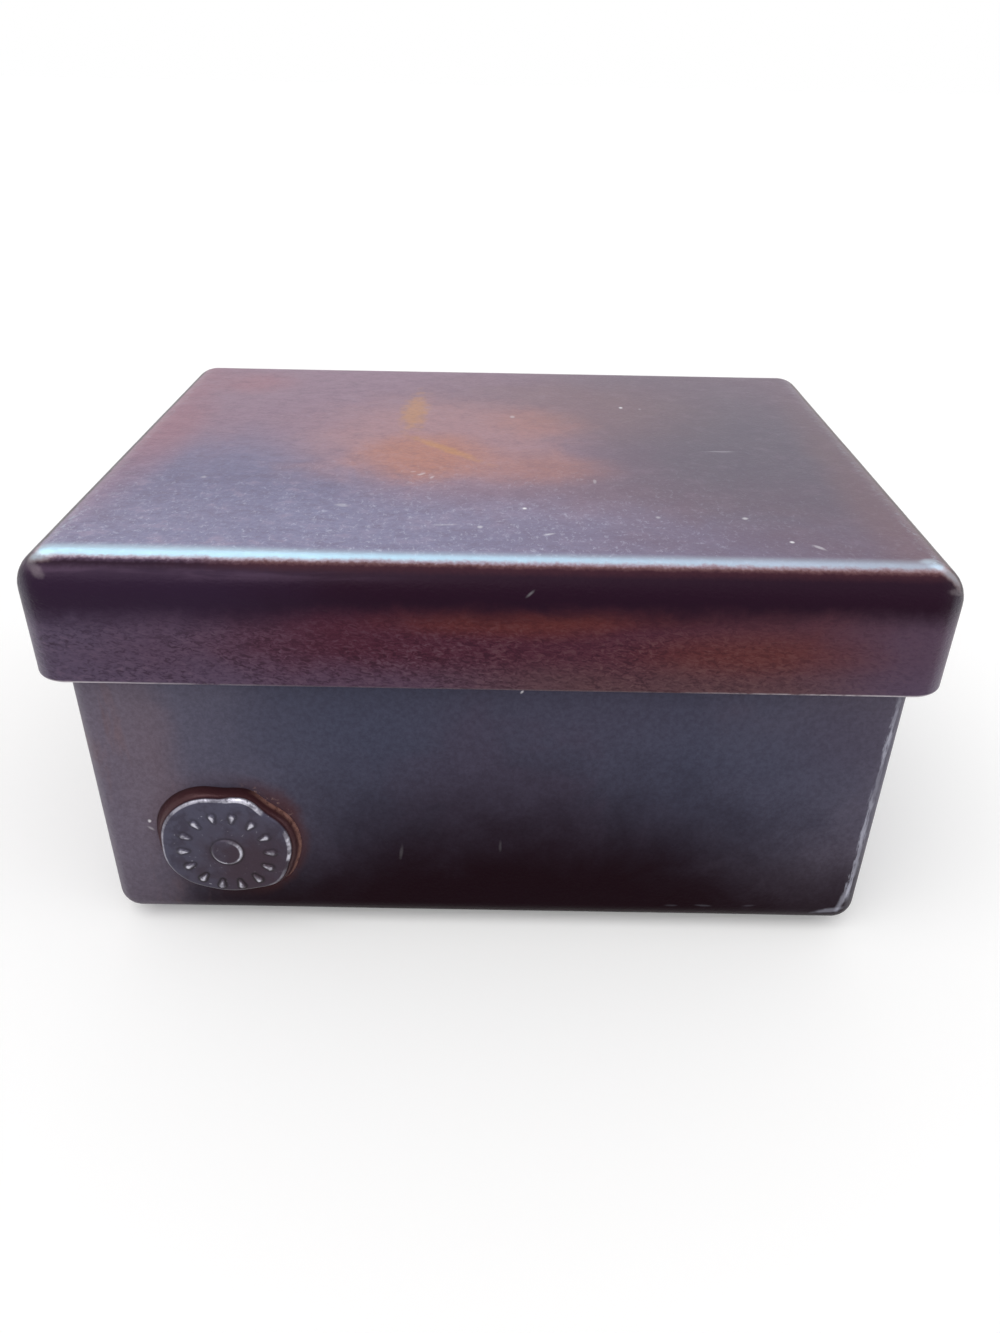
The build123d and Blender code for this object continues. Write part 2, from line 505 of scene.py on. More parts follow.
lid = {
    "opensDown": True,
    "edge": 6.6,  # top edges and upright corners
    "arris": 0.7, "plate": 3.0, "insideCorner": 5.9, "insideBevel": 0.99, "edgeSteps": 12,
    "levels": 7, "arrisSteps": 6,
    "shader": {"Specular IOR Level": 0.1},
    "roughness": 0.27,  # where it is smoothest
    "metallic": 0.18,  # where nothing is rubbed
    "fades": {  # where a colour starts and where it is full, across, from front to back, or up
        "grey": (-28, 48), "calm": (-30, 40), "dusty": (30, -50), "dustyFront": (10, -40),
        "scuffed": (80, -20), "scuffedFront": (-4, -52), "burgundy": (-72, -22), "wine": (5, 50),
        "violetEnd": (46, 76), "lowDown": (69, 61), "lowLeft": (30, -30), "lowRight": (50, 74),
        "wrinkled": (100, 10), "wrinkledDown": (79, 68), "raisedWarm": (-40, 40),
        "leftEnd": (-38, -56), "bandLeft": (-14, -56), "bandUp": (72.6, 78.6),
        "bandDeeper": (0, -60), "shoulderLeft": (10, -60), "frontEdge": (-54.4, -57.8),
        "frontEdgeBack": (-10, -60), "sideEdge": (72.5, 75), "sideEdgeFront": (-30, -52),
        "paleLeft": (4, -44), "paleRight": (77, 46), "arrisEnds": (24, 72),
    },
    "turns": {  # the same on the rounded edge, by how far the surface faces up
        "shoulder": (0.45, 0.66), "shoulderTop": (0.88, 0.72), "rust": (0.68, 0.88),
        "rim": (0.83, 0.93), "top": (0.885, 0.95), "pale": (0.88, 0.968), "warm": (0.97, 0.91),
        "rubbed": (0.93, 0.98), "flatter": (0.9, 0.4),
    },
    "colours": {
        "mauve": (140, 112, 131), "grey": (106, 89, 105), "slate": (113, 110, 141),
        "lavender": (129, 127, 157), "greenGrey": (90, 84, 99), "rose": (150, 104, 118),
        "brown": (126, 96, 98), "stain": (164, 124, 130), "ember": (174, 115, 98),
        "gold": (186, 134, 84), "shade": (96, 74, 96), "bloom": (174, 152, 172),
        "speck": (235, 233, 238), "flake": (200, 200, 218), "pale": (175, 190, 203),
        "smudge": (158, 146, 152), "warm": (190, 160, 160), "rim": (120, 86, 88),
        "rust": (58, 27, 38), "band": (31, 5, 26), "bandLeft": (40, 22, 44),
        "burgundy": (70, 30, 46), "violet": (80, 67, 88), "lowSkirtLight": (86, 64, 67),
        "wine": (78, 42, 52), "copper": (104, 46, 24), "raised": (120, 96, 112),
        "raisedWarm": (124, 92, 90), "pitShade": (34, 14, 26), "bare": (206, 198, 204),
        "inside": (46, 36, 38),
    },
    "topPatches": (
        ("slate", (-44, -24, 84), (36, 25, 30), 0.95, 0.65),
        # a lavender glow along the front of the top: painted reflection of the windows over the patina
        ("lavender", (-34, -54, 84), (70, 20, 30), 0.9, 0.65),
        ("greenGrey", (56, 0, 84), (26, 34, 30), 0.8, 0.65),
        ("rose", (-82, 22, 84), (12, 60, 30), 0.7, 0.65),
        ("brown", (73, -26, 84), (6, 60, 30), 0.35, 0.65),
        ("brown", (12, 26, 84), (30, 22, 20), 0.45, 0.65),
        ("rose", (-60, 44, 84), (8, 8, 20), 0.75, 0.8),
        ("rose", (-70, 8, 84), (5, 22, 20), 0.5, 0.8),
        ("stain", (-14, 2, 84), (27, 27, 20), 0.85, 0.5),
        ("ember", (-15, -8, 84), (12, 12, 20), 0.85, 0.6),
        ("ember", (8, -14, 84), (13, 8, 20), 0.45, 0.7),
        ("ember", (9, 16, 84), (9, 9, 20), 0.35, 0.8),
        ("shade", (30, -50, 84), (34, 7, 20), 0.25, 0.9),
    ),
    "goldMarks": (
        ((-19, 22, 84), (2.6, 12, 9), 0.62), ((-10.5, -3.5, 84), (9.5, 1.2, 9), 0.6, (0, 0, -44)),
    ),
    "specks": (
        ((29.6, 28, 83.7), (0.4, 0.5, 3), 0.9), ((34, 27.1, 83.7), (0.3, 0.4, 3), 0.2),
        ((5.8, -35.8, 83.7), (0.34, 0.4, 3), 0.9),
        ((-14.5, -19, 83.7), (0.8, 0.28, 3), 0.36, (0, 0, 35)),
        ((-12.2, -20.5, 83.7), (0.7, 0.26, 3), 0.3, (0, 0, 60)),
        ((-16.2, -17.6, 83.7), (0.5, 0.3, 3), 0.18, (0, 0, 10)),
        ((-27.8, -35.7, 83.7), (1.1, 0.6, 3), 0.22, (0, 0, -20)),
        ((-56.6, -22.7, 83.7), (0.5, 0.5, 3), 0.22), ((-2.2, -44.7, 83.7), (0.4, 0.5, 3), 0.4),
        ((-8.5, -44, 83.7), (2.2, 0.3, 3), 0.18, (0, 0, 6)),
        ((10, -47.4, 83.7), (1.0, 0.3, 3), 0.35, (0, 0, 24)),
        ((3.7, 19.3, 83.7), (0.5, 0.8, 3), 0.3),
        ((47.8, -2.3, 83.7), (3.0, 0.26, 3), 0.22, (0, 0, 2)),
        ((19.8, -21.4, 83.7), (0.3, 0.9, 3), 0.25), ((30, -39, 83.7), (0.4, 0.5, 3), 0.3),
        ((45.9, -38.8, 83.7), (0.5, 0.45, 3), 0.5), ((52, -48.9, 83.7), (0.36, 0.4, 3), 0.8),
        ((56.2, -51, 83.7), (1.1, 0.4, 3), 0.35, (0, 0, -50)),
        ((6.5, -62.6, 79.4), (0.75, 2, 0.24), 0.13, (0, -40, 0)),
    ),
    "cornerHighlight": (  # where the painted highlight of the front edge runs out round the front corners
        ((-74.8, -58.3, 83), (2.8, 1.2, 1.1), 0.62, (0, 14, 0)),
        ((76, -58.4, 82.7), (3.5, 1.15, 1.1), 0.62, (0, 27, -30)),
        ((73.4, -55.6, 83.7), (1.6, 0.8, 1.0), 0.5, (0, 0, 15)),
    ),
    "smudges": (
        ((-75, -60.3, 81.7), (2.5, 0.75, 0.9), 0.24, (0, 18, -44)),
        ((77.2, -60.4, 80.3), (1.9, 0.6, 0.5), 0.2, (0, 13, 32)),
    ),
    "skirtPatches": (
        ("copper", (2, -62, 74.4), (16, 6, 2.8), 0.42, 0.7),
        ("copper", (24, -62, 75.4), (11, 6, 1.9), 0.22, 0.7),
        ("copper", (44, -62, 68.2), (16, 9, 3.6), 0.34, 0.8),
        ("wine", (-18, 62, 72), (34, 9, 9), 0.6, 0.7),
        ("copper", (34, 62, 71), (20, 9, 4), 0.3, 0.8),
        ("copper", (80, 12, 72), (9, 22, 5), 0.3, 0.8),
        ("copper", (-80, -8, 71), (9, 18, 4), 0.3, 0.8),
    ),
}


def lidFinish():
    patina = Finish("lidPatina", lid["shader"])
    c, f, t = tints(lid["colours"]), lid["fades"], lid["turns"]
    cloud = patina.noise(46, 4, 0.6)
    blotch = patina.noise(13, 5, 0.62, 0.6, shift=31)
    crumb = patina.noise(2.2, 3, 0.6, shift=7)
    grit = patina.noise(0.62, 2, 0.5, shift=3)
    between, mix, up = patina.between, patina.mix, patina.facing("Z")
    drift = patina.x + sway(cloud, 60)
    cloudy, crumbly = sway(blotch, 0.9), sway(crumb, 1.9)

    # the top: mauve at the left, grey at the right, with clouds, a warm stain and dusty mottling
    top = mix(between(drift, *f["grey"]), c["mauve"], c["grey"])
    top = patina.lay(top, c, lid["topPatches"], cloudy)
    mottle = patina.noise(3.4, 6, 0.74, 0.15, stretch=(1.3, 1, 1), shift=61)
    calmer = between(drift, *f["calm"])
    top = mix(between(mottle, 0.54, 0.32) * (0.3 - calmer * 0.18), top, c["shade"])
    dusty = between(drift, *f["dusty"]) * between(patina.y, *f["dustyFront"])
    top = mix(between(mottle, 0.5, 0.66) * (0.08 + dusty * 0.22), top, c["bloom"])
    top = mix(patina.marks(lid["goldMarks"], crumbly), top, c["gold"])

    # pale flakes where the lacquer is scuffed, mostly towards the front
    flakes = patina.noise(0.9, 5, 0.78, 0.5, stretch=(1, 1.5, 1), shift=11)
    front = between(patina.y + sway(blotch, 44), *f["scuffedFront"])
    scuffs = between(flakes, 0.52, 0.7) * (front * between(drift, *f["scuffed"]) + 0.12)
    top = mix(scuffs * 0.52, top, c["flake"])
    grain = between(patina.noise(0.7, 4, 0.75, stretch=(1.5, 1, 1), shift=2), 0.6, 0.34)
    top = mix(grain * 0.2, top, c["shade"])

    # the skirt: violet at the left end, burgundy in the middle, wine at the right
    side = mix(between(drift, *f["burgundy"]), c["violet"], c["burgundy"])
    side = mix(between(drift, *f["wine"]), side, c["wine"])
    rightEnd = between(patina.x + sway(blotch, 20), *f["violetEnd"])
    side = mix(rightEnd * 0.66, side, c["violet"])
    side = patina.lay(side, c, lid["skirtPatches"], cloudy)
    # painted light: the skirt paler towards its lower edge
    low = between(patina.z + sway(blotch, 6), *f["lowDown"])
    ends = between(drift, *f["lowLeft"]) + between(patina.x, *f["lowRight"])
    side = mix(low * 0.6, side, mix(ends, c["lowSkirtLight"], c["violet"]))

    # leathery wrinkles: paler ridges, part rubbed wear and part painted light, and painted shade in
    # the pits between them, more so lower down
    wrinkle = patina.noise(0.66, 3, 0.62, 0.9, stretch=(1.9, 1.9, 0.85), shift=27, turn=(0, 7, 0))
    lower = between(patina.z + sway(blotch, 8), *f["wrinkledDown"])
    lower = lower * (0.7 + 0.5 * between(blotch, 0.38, 0.62)) * between(drift, *f["wrinkled"])
    raised = mix(between(drift, *f["raisedWarm"]), c["raised"], c["raisedWarm"])
    side = mix(between(wrinkle, 0.46, 0.72) * (0.02 + lower * 0.26), side, raised)
    side = mix(between(wrinkle, 0.52, 0.34) * (0.12 + lower * 0.38), side, c["pitShade"])

    # the rounded edge: painted shade in a dark band below it, a rusty rim, and the pale top of the
    # curve, a painted highlight with some rubbed wear at the sides
    turned = up + sway(crumb, 0.055) + sway(grit, 0.055)
    leftEnd = between(patina.x + sway(blotch, 24), *f["leftEnd"])
    # painted shade: the dark band below the rounded edge, reaching lower at the left, with a painted
    # sheen streaked along its shoulder
    band = mix(between(patina.x + sway(blotch, 30), *f["bandLeft"]), c["band"], c["bandLeft"])
    sheen = patina.noise(2.4, 3, 0.6, 0.3, stretch=(9, 9, 0.8), shift=47)
    shoulder = between(turned, *t["shoulder"]) * between(turned, *t["shoulderTop"])
    streaked = 0.06 + 0.26 * between(sheen, 0.42, 0.62)
    band = mix(shoulder * between(drift, *f["shoulderLeft"]) * streaked, band, c["shade"])
    height = patina.z + sway(blotch, 5) + sway(crumb, 2) + between(drift, *f["bandDeeper"]) * 2.5
    side = mix(between(height, *f["bandUp"]), side, band)
    frontEdge = between(patina.y - between(patina.x, *f["frontEdgeBack"]), *f["frontEdge"])
    sideEdge = between(abs(patina.x), *f["sideEdge"])
    side = mix(between(turned, *t["rust"]), side, mix(leftEnd, c["rust"], c["band"]))
    # a painted highlight fringe, pinkish, just below the pale top and strongest at the front
    rim = mix(leftEnd, c["rim"], c["shade"])
    side = mix(between(turned, *t["rim"]) * (0.2 + 0.65 * frontEdge), side, rim)
    skin = mix(between(turned, *t["top"]), side, top)
    chips = between(patina.noise(1.6, 4, 0.7, shift=77), 0.5, 0.66)
    # painted highlight: the windows mirrored on the front edge, painted as pale metal, brighter to the
    # left and warmer at its lower side; the side edges add rubbed wear
    leftwards = 0.2 * between(patina.x + sway(cloud, 30), *f["paleLeft"])
    leftwards = leftwards + 0.66 + 0.16 * between(patina.x, *f["paleRight"])
    pale = frontEdge * between(turned, *t["pale"]) * leftwards * (0.9 + 0.1 * chips)
    rubbed = sideEdge * chips * between(turned, *t["rubbed"])
    pale = pale + rubbed * (0.16 + 0.34 * between(patina.y, *f["sideEdgeFront"]))
    corner = patina.marks(lid["cornerHighlight"], crumbly * 0.5)
    pale = pale + corner
    warm = between(turned, *t["warm"]) * (1 - corner)
    skin = mix(pale * 0.9, skin, mix(warm, c["pale"], c["warm"]))
    skin = mix(patina.marks(lid["smudges"], crumbly), skin, c["smudge"])
    skin = mix(patina.marks(lid["specks"], sway(crumb, 1.2)), skin, c["speck"])

    # the upright corners, a little paler: rubbed wear and a painted highlight
    skin = mix(patina.upright() * (0.02 + crumb * 0.08), skin, c["flake"])

    # bare metal on the lower arris, worn and partly a painted highlight, and the plain inside
    outwards = between(abs(patina.x + 4), *f["arrisEnds"])
    worn = patina.mark("worn") * between(cloud + sway(crumb, 0.7), 0.34, 0.56)
    worn = worn * (0.08 + 0.75 * outwards)
    skin = mix(worn, skin, c["bare"])
    skin = mix(patina.mark("inside"), skin, c["inside"])

    rub = patina.noise(7, 4, 0.65, shift=19)
    leather = wrinkle * (0.2 + 0.8 * between(up, *t["flatter"])) + grit * 0.3 + flakes * 0.3
    pebbled = patina.bump(leather, 0.24, 0.5)
    patina.paint(
        Base_Color=skin,
        Metallic=lid["metallic"] + worn * 0.5 + pale * 0.7,
        Roughness=lid["roughness"] + rub * 0.12 + scuffs * 0.12,
        Normal=patina.bump(blotch, 0.3, 0.3, pebbled),
    )
    return patina.material


makeTray("lidCap", lid, lidFinish(), "lid", "lid_shell")
print("lid made")


box = {
    "opensDown": False,
    "edge": 4.8,  # bottom edges and upright corners
    "arris": 0.6, "plate": 2.5, "insideCorner": 2.3, "insideBevel": 0.0, "edgeSteps": 10,
    "levels": 24, "arrisSteps": 4,
    "shader": {"Specular IOR Level": 0.06},
    "roughness": 0.34, "metallic": 0.2,
    "fades": {  # as for the lid
        "mauve": (-22, -56), "right": (30, 66), "left": (-56, -68), "tan": (-50, -64),
        "haloRight": (-50, -38), "scaleRight": (-48, -44), "scaleUp": (11, 16),
        "lineStart": (72.5, 73.1), "lineEnd": (74.1, 73.4), "lineFront": (-50, -54),
        "lineUp": (7, 12),
    },
    "colours": {
        "slate": (71, 71, 89), "blue": (62, 68, 88), "plum": (72, 62, 79), "mauve": (93, 90, 107),
        "left": (109, 99, 113), "right": (92, 86, 101), "dark": (20, 0, 9), "tan": (118, 92, 94),
        "stain": (80, 44, 42), "crust": (150, 122, 116), "worn": (170, 170, 184),
        "rim": (120, 110, 112), "speck": (220, 216, 222), "inside": (40, 32, 34),
    },
    "patches": (
        ("slate", (-32, -58, 44), (18, 9, 16), 0.6, 0.7),
        ("slate", (58, -58, 40), (16, 9, 18), 0.6, 0.7),
        ("plum", (12, -58, 56), (26, 9, 9), 0.2, 0.8),
        ("blue", (48, -58, 36), (17, 9, 17), 0.3, 0.8),
        ("blue", (-26, -58, 50), (18, 9, 12), 0.3, 0.8),
        ("plum", (66, -58, 50), (9, 9, 8), 0.25, 0.8),
        # painted shade low at the two front corners
        ("dark", (-46, -58, 2), (26, 9, 12), 0.85, 0.8),
        ("dark", (70, -58, 4), (16, 9, 13), 0.72, 0.8),
        ("tan", (-64, -58, 40), (5, 9, 20), 0.4, 0.8),
        ("slate", (-20, 58, 40), (40, 9, 22), 0.5, 0.7),
        ("tan", (52, 58, 30), (18, 9, 16), 0.35, 0.8),
        ("slate", (76, 14, 38), (9, 30, 20), 0.5, 0.7),
        ("tan", (-76, -6, 34), (9, 24, 18), 0.35, 0.8),
    ),
    # middle and reach: painted shade, nearly black low down and darker at the left foot, and the stain
    # round the seal
    "lowShadow": ((10, -58, -12), (72, 400, 45)),
    "leftShadow": ((-62, -58, -2), (20, 9, 13)),
    "halo": ((-50.4, -58, 23.4), (13.6, 60, 13.6)),
    "curl": (  # painted highlight with some wear round the front right corner's foot
        ((70.2, -58, 6.2), (2.8, 3, 0.6), 0.42, (0, -12, 0)),
        ((72.4, -58, 9.4), (0.6, 3, 3.2), 0.5, (0, 14, 0)), ((37.7, -58, 6.9), (1.1, 3, 0.2), 0.07),
        ((44.2, -58, 7.0), (1.6, 3, 0.2), 0.1, (0, 4, 0)),
        ((53.6, -58, 7.2), (1.2, 3, 0.2), 0.07, (0, -3, 0)),
    ),
    "specks": (
        ((5.8, -58.5, 58), (0.38, 3, 0.2), 0.7, (0, -55, 0)),
        ((-17, -58.5, 20), (0.3, 3, 1.6), 0.05, (0, 8, 0)),
        ((2.5, -58.5, 22), (0.24, 3, 1.2), 0.04), ((-65.6, -58.5, 26.8), (0.3, 3, 0.36), 0.8),
        ((-65.6, -58.5, 25), (0.7, 3, 0.3), 0.3, (0, 40, 0)),
    ),
}


def boxFinish():
    patina = Finish("boxPatina", box["shader"])
    c, f = tints(box["colours"]), box["fades"]
    cloud = patina.noise(44, 4, 0.6, shift=50)
    blotch = patina.noise(12, 5, 0.62, 0.5, shift=23)
    crumb = patina.noise(2.0, 3, 0.6, shift=5)
    grit = patina.noise(0.6, 2, 0.5, shift=9)
    between, mix = patina.between, patina.mix
    drift = patina.x + sway(cloud, 40)

    # slate and plum clouds, paler towards the upright corners, and painted shade nearly black low in
    # the middle
    skin = mix(between(cloud + sway(blotch, 0.5), 0.42, 0.62) * 0.5, c["slate"], c["plum"])
    skin = mix(between(drift, *f["mauve"]), skin, c["mauve"])
    skin = mix(between(drift, *f["right"]), skin, c["right"])
    skin = patina.lay(skin, c, box["patches"], sway(blotch, 0.9))
    dark = patina.spot(*box["lowShadow"], 0.42, sway(blotch, 0.35))
    skin = mix(dark, skin, c["dark"])
    skin = mix(between(patina.x + sway(blotch, 14), *f["left"]) * 0.8, skin, c["left"])
    skin = mix(patina.spot(*box["leftShadow"], 0.9) * 0.2, skin, c["dark"])
    streaks = patina.noise(5, 4, 0.65, 0.3, stretch=(1, 1, 5), shift=37)
    tan = between(streaks, 0.52, 0.72) * between(patina.x, *f["tan"])
    skin = mix(tan * 0.4, skin, c["tan"])
    grain = between(patina.noise(0.8, 4, 0.7, shift=2), 0.25, 0.75)
    skin = mix(grain * 0.28, skin, c["dark"])

    # round the seal, a rusty stain with crumbs of bright scale in it
    ring = patina.away(*box["halo"]) + sway(blotch, 0.35)
    right = between(patina.x + sway(blotch, 8), *f["haloRight"])
    halo = between(ring, 1.26, 1.0) * (0.12 + right * 0.5)
    skin = mix(halo, skin, c["stain"])
    scale = patina.noise(0.9, 3, 0.7, shift=88)
    crusty = between(scale, 0.56, 0.66) * between(ring, 1.05, 0.98)
    crusty = crusty * between(patina.x, *f["scaleRight"]) * between(patina.z, *f["scaleUp"])
    skin = mix(crusty * 0.7, skin, c["crust"])

    # a wandering painted highlight with some wear down the front right upright corner, and round to
    # the underside
    wander = patina.noise(11, 4, 0.7, stretch=(1, 1, 1.6), shift=41)
    streak = patina.noise(1.2, 4, 0.7, stretch=(0.5, 0.5, 3), shift=91)
    line = patina.x + sway(wander, 2.4) + sway(streak, 2.8) + sway(crumb, 0.8)
    line = between(line, *f["lineStart"]) * between(line, *f["lineEnd"])
    fade = between(patina.noise(13, 3, 0.6, stretch=(1, 1, 1.5), shift=64), 0.34, 0.58)
    line = line * between(patina.y, *f["lineFront"]) * (0.3 + 0.7 * fade)
    line = line * between(streak, 0.24, 0.5) * between(patina.z, *f["lineUp"])
    curl = patina.marks(box["curl"], sway(crumb, 1.6))
    rubbed = patina.upright() * crumb * 0.14
    worn = line + curl + rubbed
    skin = mix(worn * 0.88, skin, c["worn"])
    skin = mix(patina.marks(box["specks"], sway(crumb, 1.2)), skin, c["speck"])
    rim = patina.mark("worn") * between(crumb, 0.3, 0.6)
    skin = mix(rim, skin, c["rim"])
    skin = mix(patina.mark("inside"), skin, c["inside"])

    rub = patina.noise(8, 4, 0.65, shift=19)
    pebbled = patina.bump(grit, 0.12, 0.4)
    patina.paint(
        Base_Color=skin,
        Metallic=box["metallic"] + (worn + rim) * 0.5,
        Roughness=box["roughness"] + rub * 0.16,
        Normal=patina.bump(blotch, 0.3, 0.3, pebbled),
    )
    return patina.material


makeTray("boxBody", box, boxFinish(), "base", "base_shell")
print("box made")


seal = {
    "middle": (-50.4, 23.4),  # across and up, on the box's front
    "radius": 12.3,
    "thickness": 3.1,
    "reaches": (  # the face's reach in radii, in equal turns from the right upwards
        1.015, 1.0, 0.935, 0.99, 0.92, 0.975, 1.01, 1.03,
        1.03, 1.07, 1.05, 0.98, 0.96, 0.975, 1.065, 1.02,
    ),
    "flare": 1.0,  # how much wider it is at its back
    "lean": 0.6,  # its back spreads this much more towards leanTurn and its opposite
    "leanTurn": -25,
    "lip": 0.85,
    "sunk": 0.15,  # its back goes this far into the box's wall
    "bossDrop": 1.3,  # the boss sits this much below the outline's middle
    "bossRadius": 3.05, "relief": 0.45, "petals": 14, "ring": 8.2, "petalLength": 1.3,
    "petalOuter": 0.7, "petalInner": 0.3,
    "around": 288,  # points round the outline
    "outlineSteps": 720, "faceRings": 64, "rimRings": 4, "lipSteps": 8, "wallRings": 8,
    "fieldRadius": 9.55,  # where the round field meets the lobed rim
    "wallBulge": 0.28,
    # across a petal's or the boss's edge, from inside to outside
    "slope": (-0.32, 0.14),
    "petalCrest": (-0.45, -0.15),
    # painted shade round the petals and the boss
    "recessShadeStart": (-0.1, 0.08),
    "recessShadeEnd": (0.14, 0.62),
    "crestInset": 0.28,  # the painted highlight on the boss's crest lies this far in from its edge
    "crestWidth": (0.12, 0.3),
    "glintWay": (0.5, -0.86),  # the crest's painted highlight lies towards the lower right
    "glintFrom": (-2.6, 0.5),
    "lipCrest": 0.45,  # share of the way over the lip
    "lipStain": (0.55, 1.0),
    "wallShade": (0.55, 1.0),  # painted shade, over these shares of the way from the lip to the box
    "wallSeam": (0.45, 0.8),
    "shader": {"Specular IOR Level": 0.3},
    "roughness": 0.24, "metallic": 0.35,
    "fades": {"under": (24, 14), "right": (-46, -42)},
    "stainPatch": ((-46, -61, 18), (10, 9, 9)),
    # painted highlights, the bright stretches of the lip: turn, half length and fade in degrees,
    # strength, width
    "lipGlints": (
        (69, 14, 6, 1.0, 0.55), (105, 20, 8, 0.7, 0.32), (158, 30, 26, 0.55, 0.32),
        (6, 13, 6, 1.0, 0.5), (325, 9, 8, 0.4, 0.45),
    ),
    "colours": {
        "face": (68, 66, 84), "shade": (50, 44, 60), "stain": (54, 38, 50), "wall": (64, 34, 38),
        "crust": (162, 120, 108), "recessShade": (20, 11, 17), "bright": (200, 198, 210),
    },
}


def sealFinish():
    cast = Finish("sealPatina", seal["shader"])
    c, f = tints(seal["colours"]), seal["fades"]
    blotch = cast.noise(5, 4, 0.6, 0.4, shift=14)
    patch = cast.noise(3.2, 3, 0.6, shift=52)
    crumb = cast.noise(0.9, 3, 0.6, shift=5)
    between, mix = cast.between, cast.mix
    under = between(cast.z + sway(blotch, 10), *f["under"])
    stain = cast.spot(*seal["stainPatch"], 0.8, sway(blotch, 1.6))
    skin = mix(between(patch, 0.44, 0.62) * 0.7, c["face"], c["shade"])
    skin = mix(stain * 0.95, skin, c["stain"])
    flecks = between(crumb, 0.62, 0.74) * between(blotch, 0.46, 0.6)
    skin = mix(flecks * 0.4, skin, c["bright"])
    wall = cast.mark("wall")
    skin = mix(wall, skin, c["wall"])

    # painted shade in the corners round the relief and where the wall meets the box, and a crusty pale
    # seam where the right side meets the box
    right = between(cast.x + sway(blotch, 5), *f["right"])
    recessShade = cast.mark("recessShade") * (0.45 + 0.45 * under) * (1 - right * wall)
    skin = mix(recessShade, skin, c["recessShade"])
    seam = cast.mark("foot") * right * between(crumb, 0.2, 0.55)
    skin = mix(seam * 0.8, skin, c["crust"])
    # painted highlights on the crests and the lip, with some wear
    worn = cast.mark("worn") * between(crumb, 0.22, 0.48) * (0.3 + 0.7 * between(patch, 0.6, 0.44))
    skin = mix(worn, skin, c["bright"])
    cast.paint(
        Base_Color=skin,
        Metallic=seal["metallic"] + worn * 0.6,
        Roughness=seal["roughness"] + crumb * 0.14,
        Normal=cast.bump(crumb + blotch * 1.2 + patch, 0.1, 0.5),
    )
    return cast.material


def smoothReaches(count):
    # the hand-pressed outline, smoothed between its named reaches
    given = seal["reaches"]
    result = []
    for step in range(count):
        place = step / count * len(given)
        index = int(place)
        t = place - index
        a, b, c, d = (given[(index + offset) % len(given)] for offset in (-1, 0, 1, 2))
        bend = 2 * a - 5 * b + 4 * c - d + t * (3 * (b - c) + d - a)
        result.append(b + 0.5 * t * (c - a + t * bend))
    return result


def outline(spread, lean):
    # the outline's distance from the boss's middle, at each turn round it
    angles, lengths = [], []
    count = seal["outlineSteps"]
    for step, reach in enumerate(smoothReaches(count)):
        turn = 2 * pi * step / count
        grown = seal["radius"] * reach + spread + lean * cos(2 * (turn - radians(seal["leanTurn"])))
        x, z = grown * cos(turn), grown * sin(turn) + seal["bossDrop"]
        angles.append(np.arctan2(z, x) % (2 * pi))
        lengths.append(hypot(x, z))
    turns = np.arange(seal["around"]) * 2 * pi / seal["around"]
    return np.interp(turns, angles, lengths, period=2 * pi)


def softStep(value, low, high):
    t = min(max((value - low) / (high - low), 0.0), 1.0)
    return t * t * (3 - 2 * t)


def petalDistance(x, z):
    # from a point to the edge of the nearest petal, negative inside it
    turn = np.arctan2(z, x)
    share = 2 * pi / seal["petals"]
    turn -= share * round(turn / share)
    away = hypot(x, z)
    along, across = away * cos(turn) - seal["ring"], away * sin(turn)
    half = seal["petalLength"] / 2
    t = min(max((along + half) / (2 * half), 0.0), 1.0)
    radius = seal["petalInner"] + (seal["petalOuter"] - seal["petalInner"]) * t
    return hypot(along + half - 2 * half * t, across) - radius


def sealRelief(x, z):
    # how far the face stands out at a point, its painted highlight with wear, and its painted shade
    petal = petalDistance(x, z)
    boss = hypot(x, z) - seal["bossRadius"]
    nearest = min(petal, boss)
    rise = seal["relief"] * (1 - softStep(nearest, *seal["slope"]))
    crest = 1 - softStep(abs(boss + seal["crestInset"]), *seal["crestWidth"])
    wayX, wayZ = seal["glintWay"]
    lowerRight = softStep(x * wayX + z * wayZ, *seal["glintFrom"])
    worn = max(1 - softStep(petal, *seal["petalCrest"]), crest * lowerRight)
    recessShade = softStep(nearest, *seal["recessShadeStart"]) * (1 - softStep(nearest, *seal["recessShadeEnd"]))
    return rise, worn, recessShade


def lipMarks(turn, share):
    # painted highlight with wear, painted shade and wall colour, at a turn and a share of the way over
    # the lip
    bright = 0.0
    for middle, half, fade, strength, width in seal["lipGlints"]:
        away = abs((turn - radians(middle) + pi) % (2 * pi) - pi)
        along = 1 - softStep(away, radians(half), radians(half + fade))
        across = 1 - softStep(abs(share - seal["lipCrest"]), width / 2, width)
        bright = max(bright, strength * along * across)
    return bright, 0.0, softStep(share, *seal["lipStain"]), 0.0


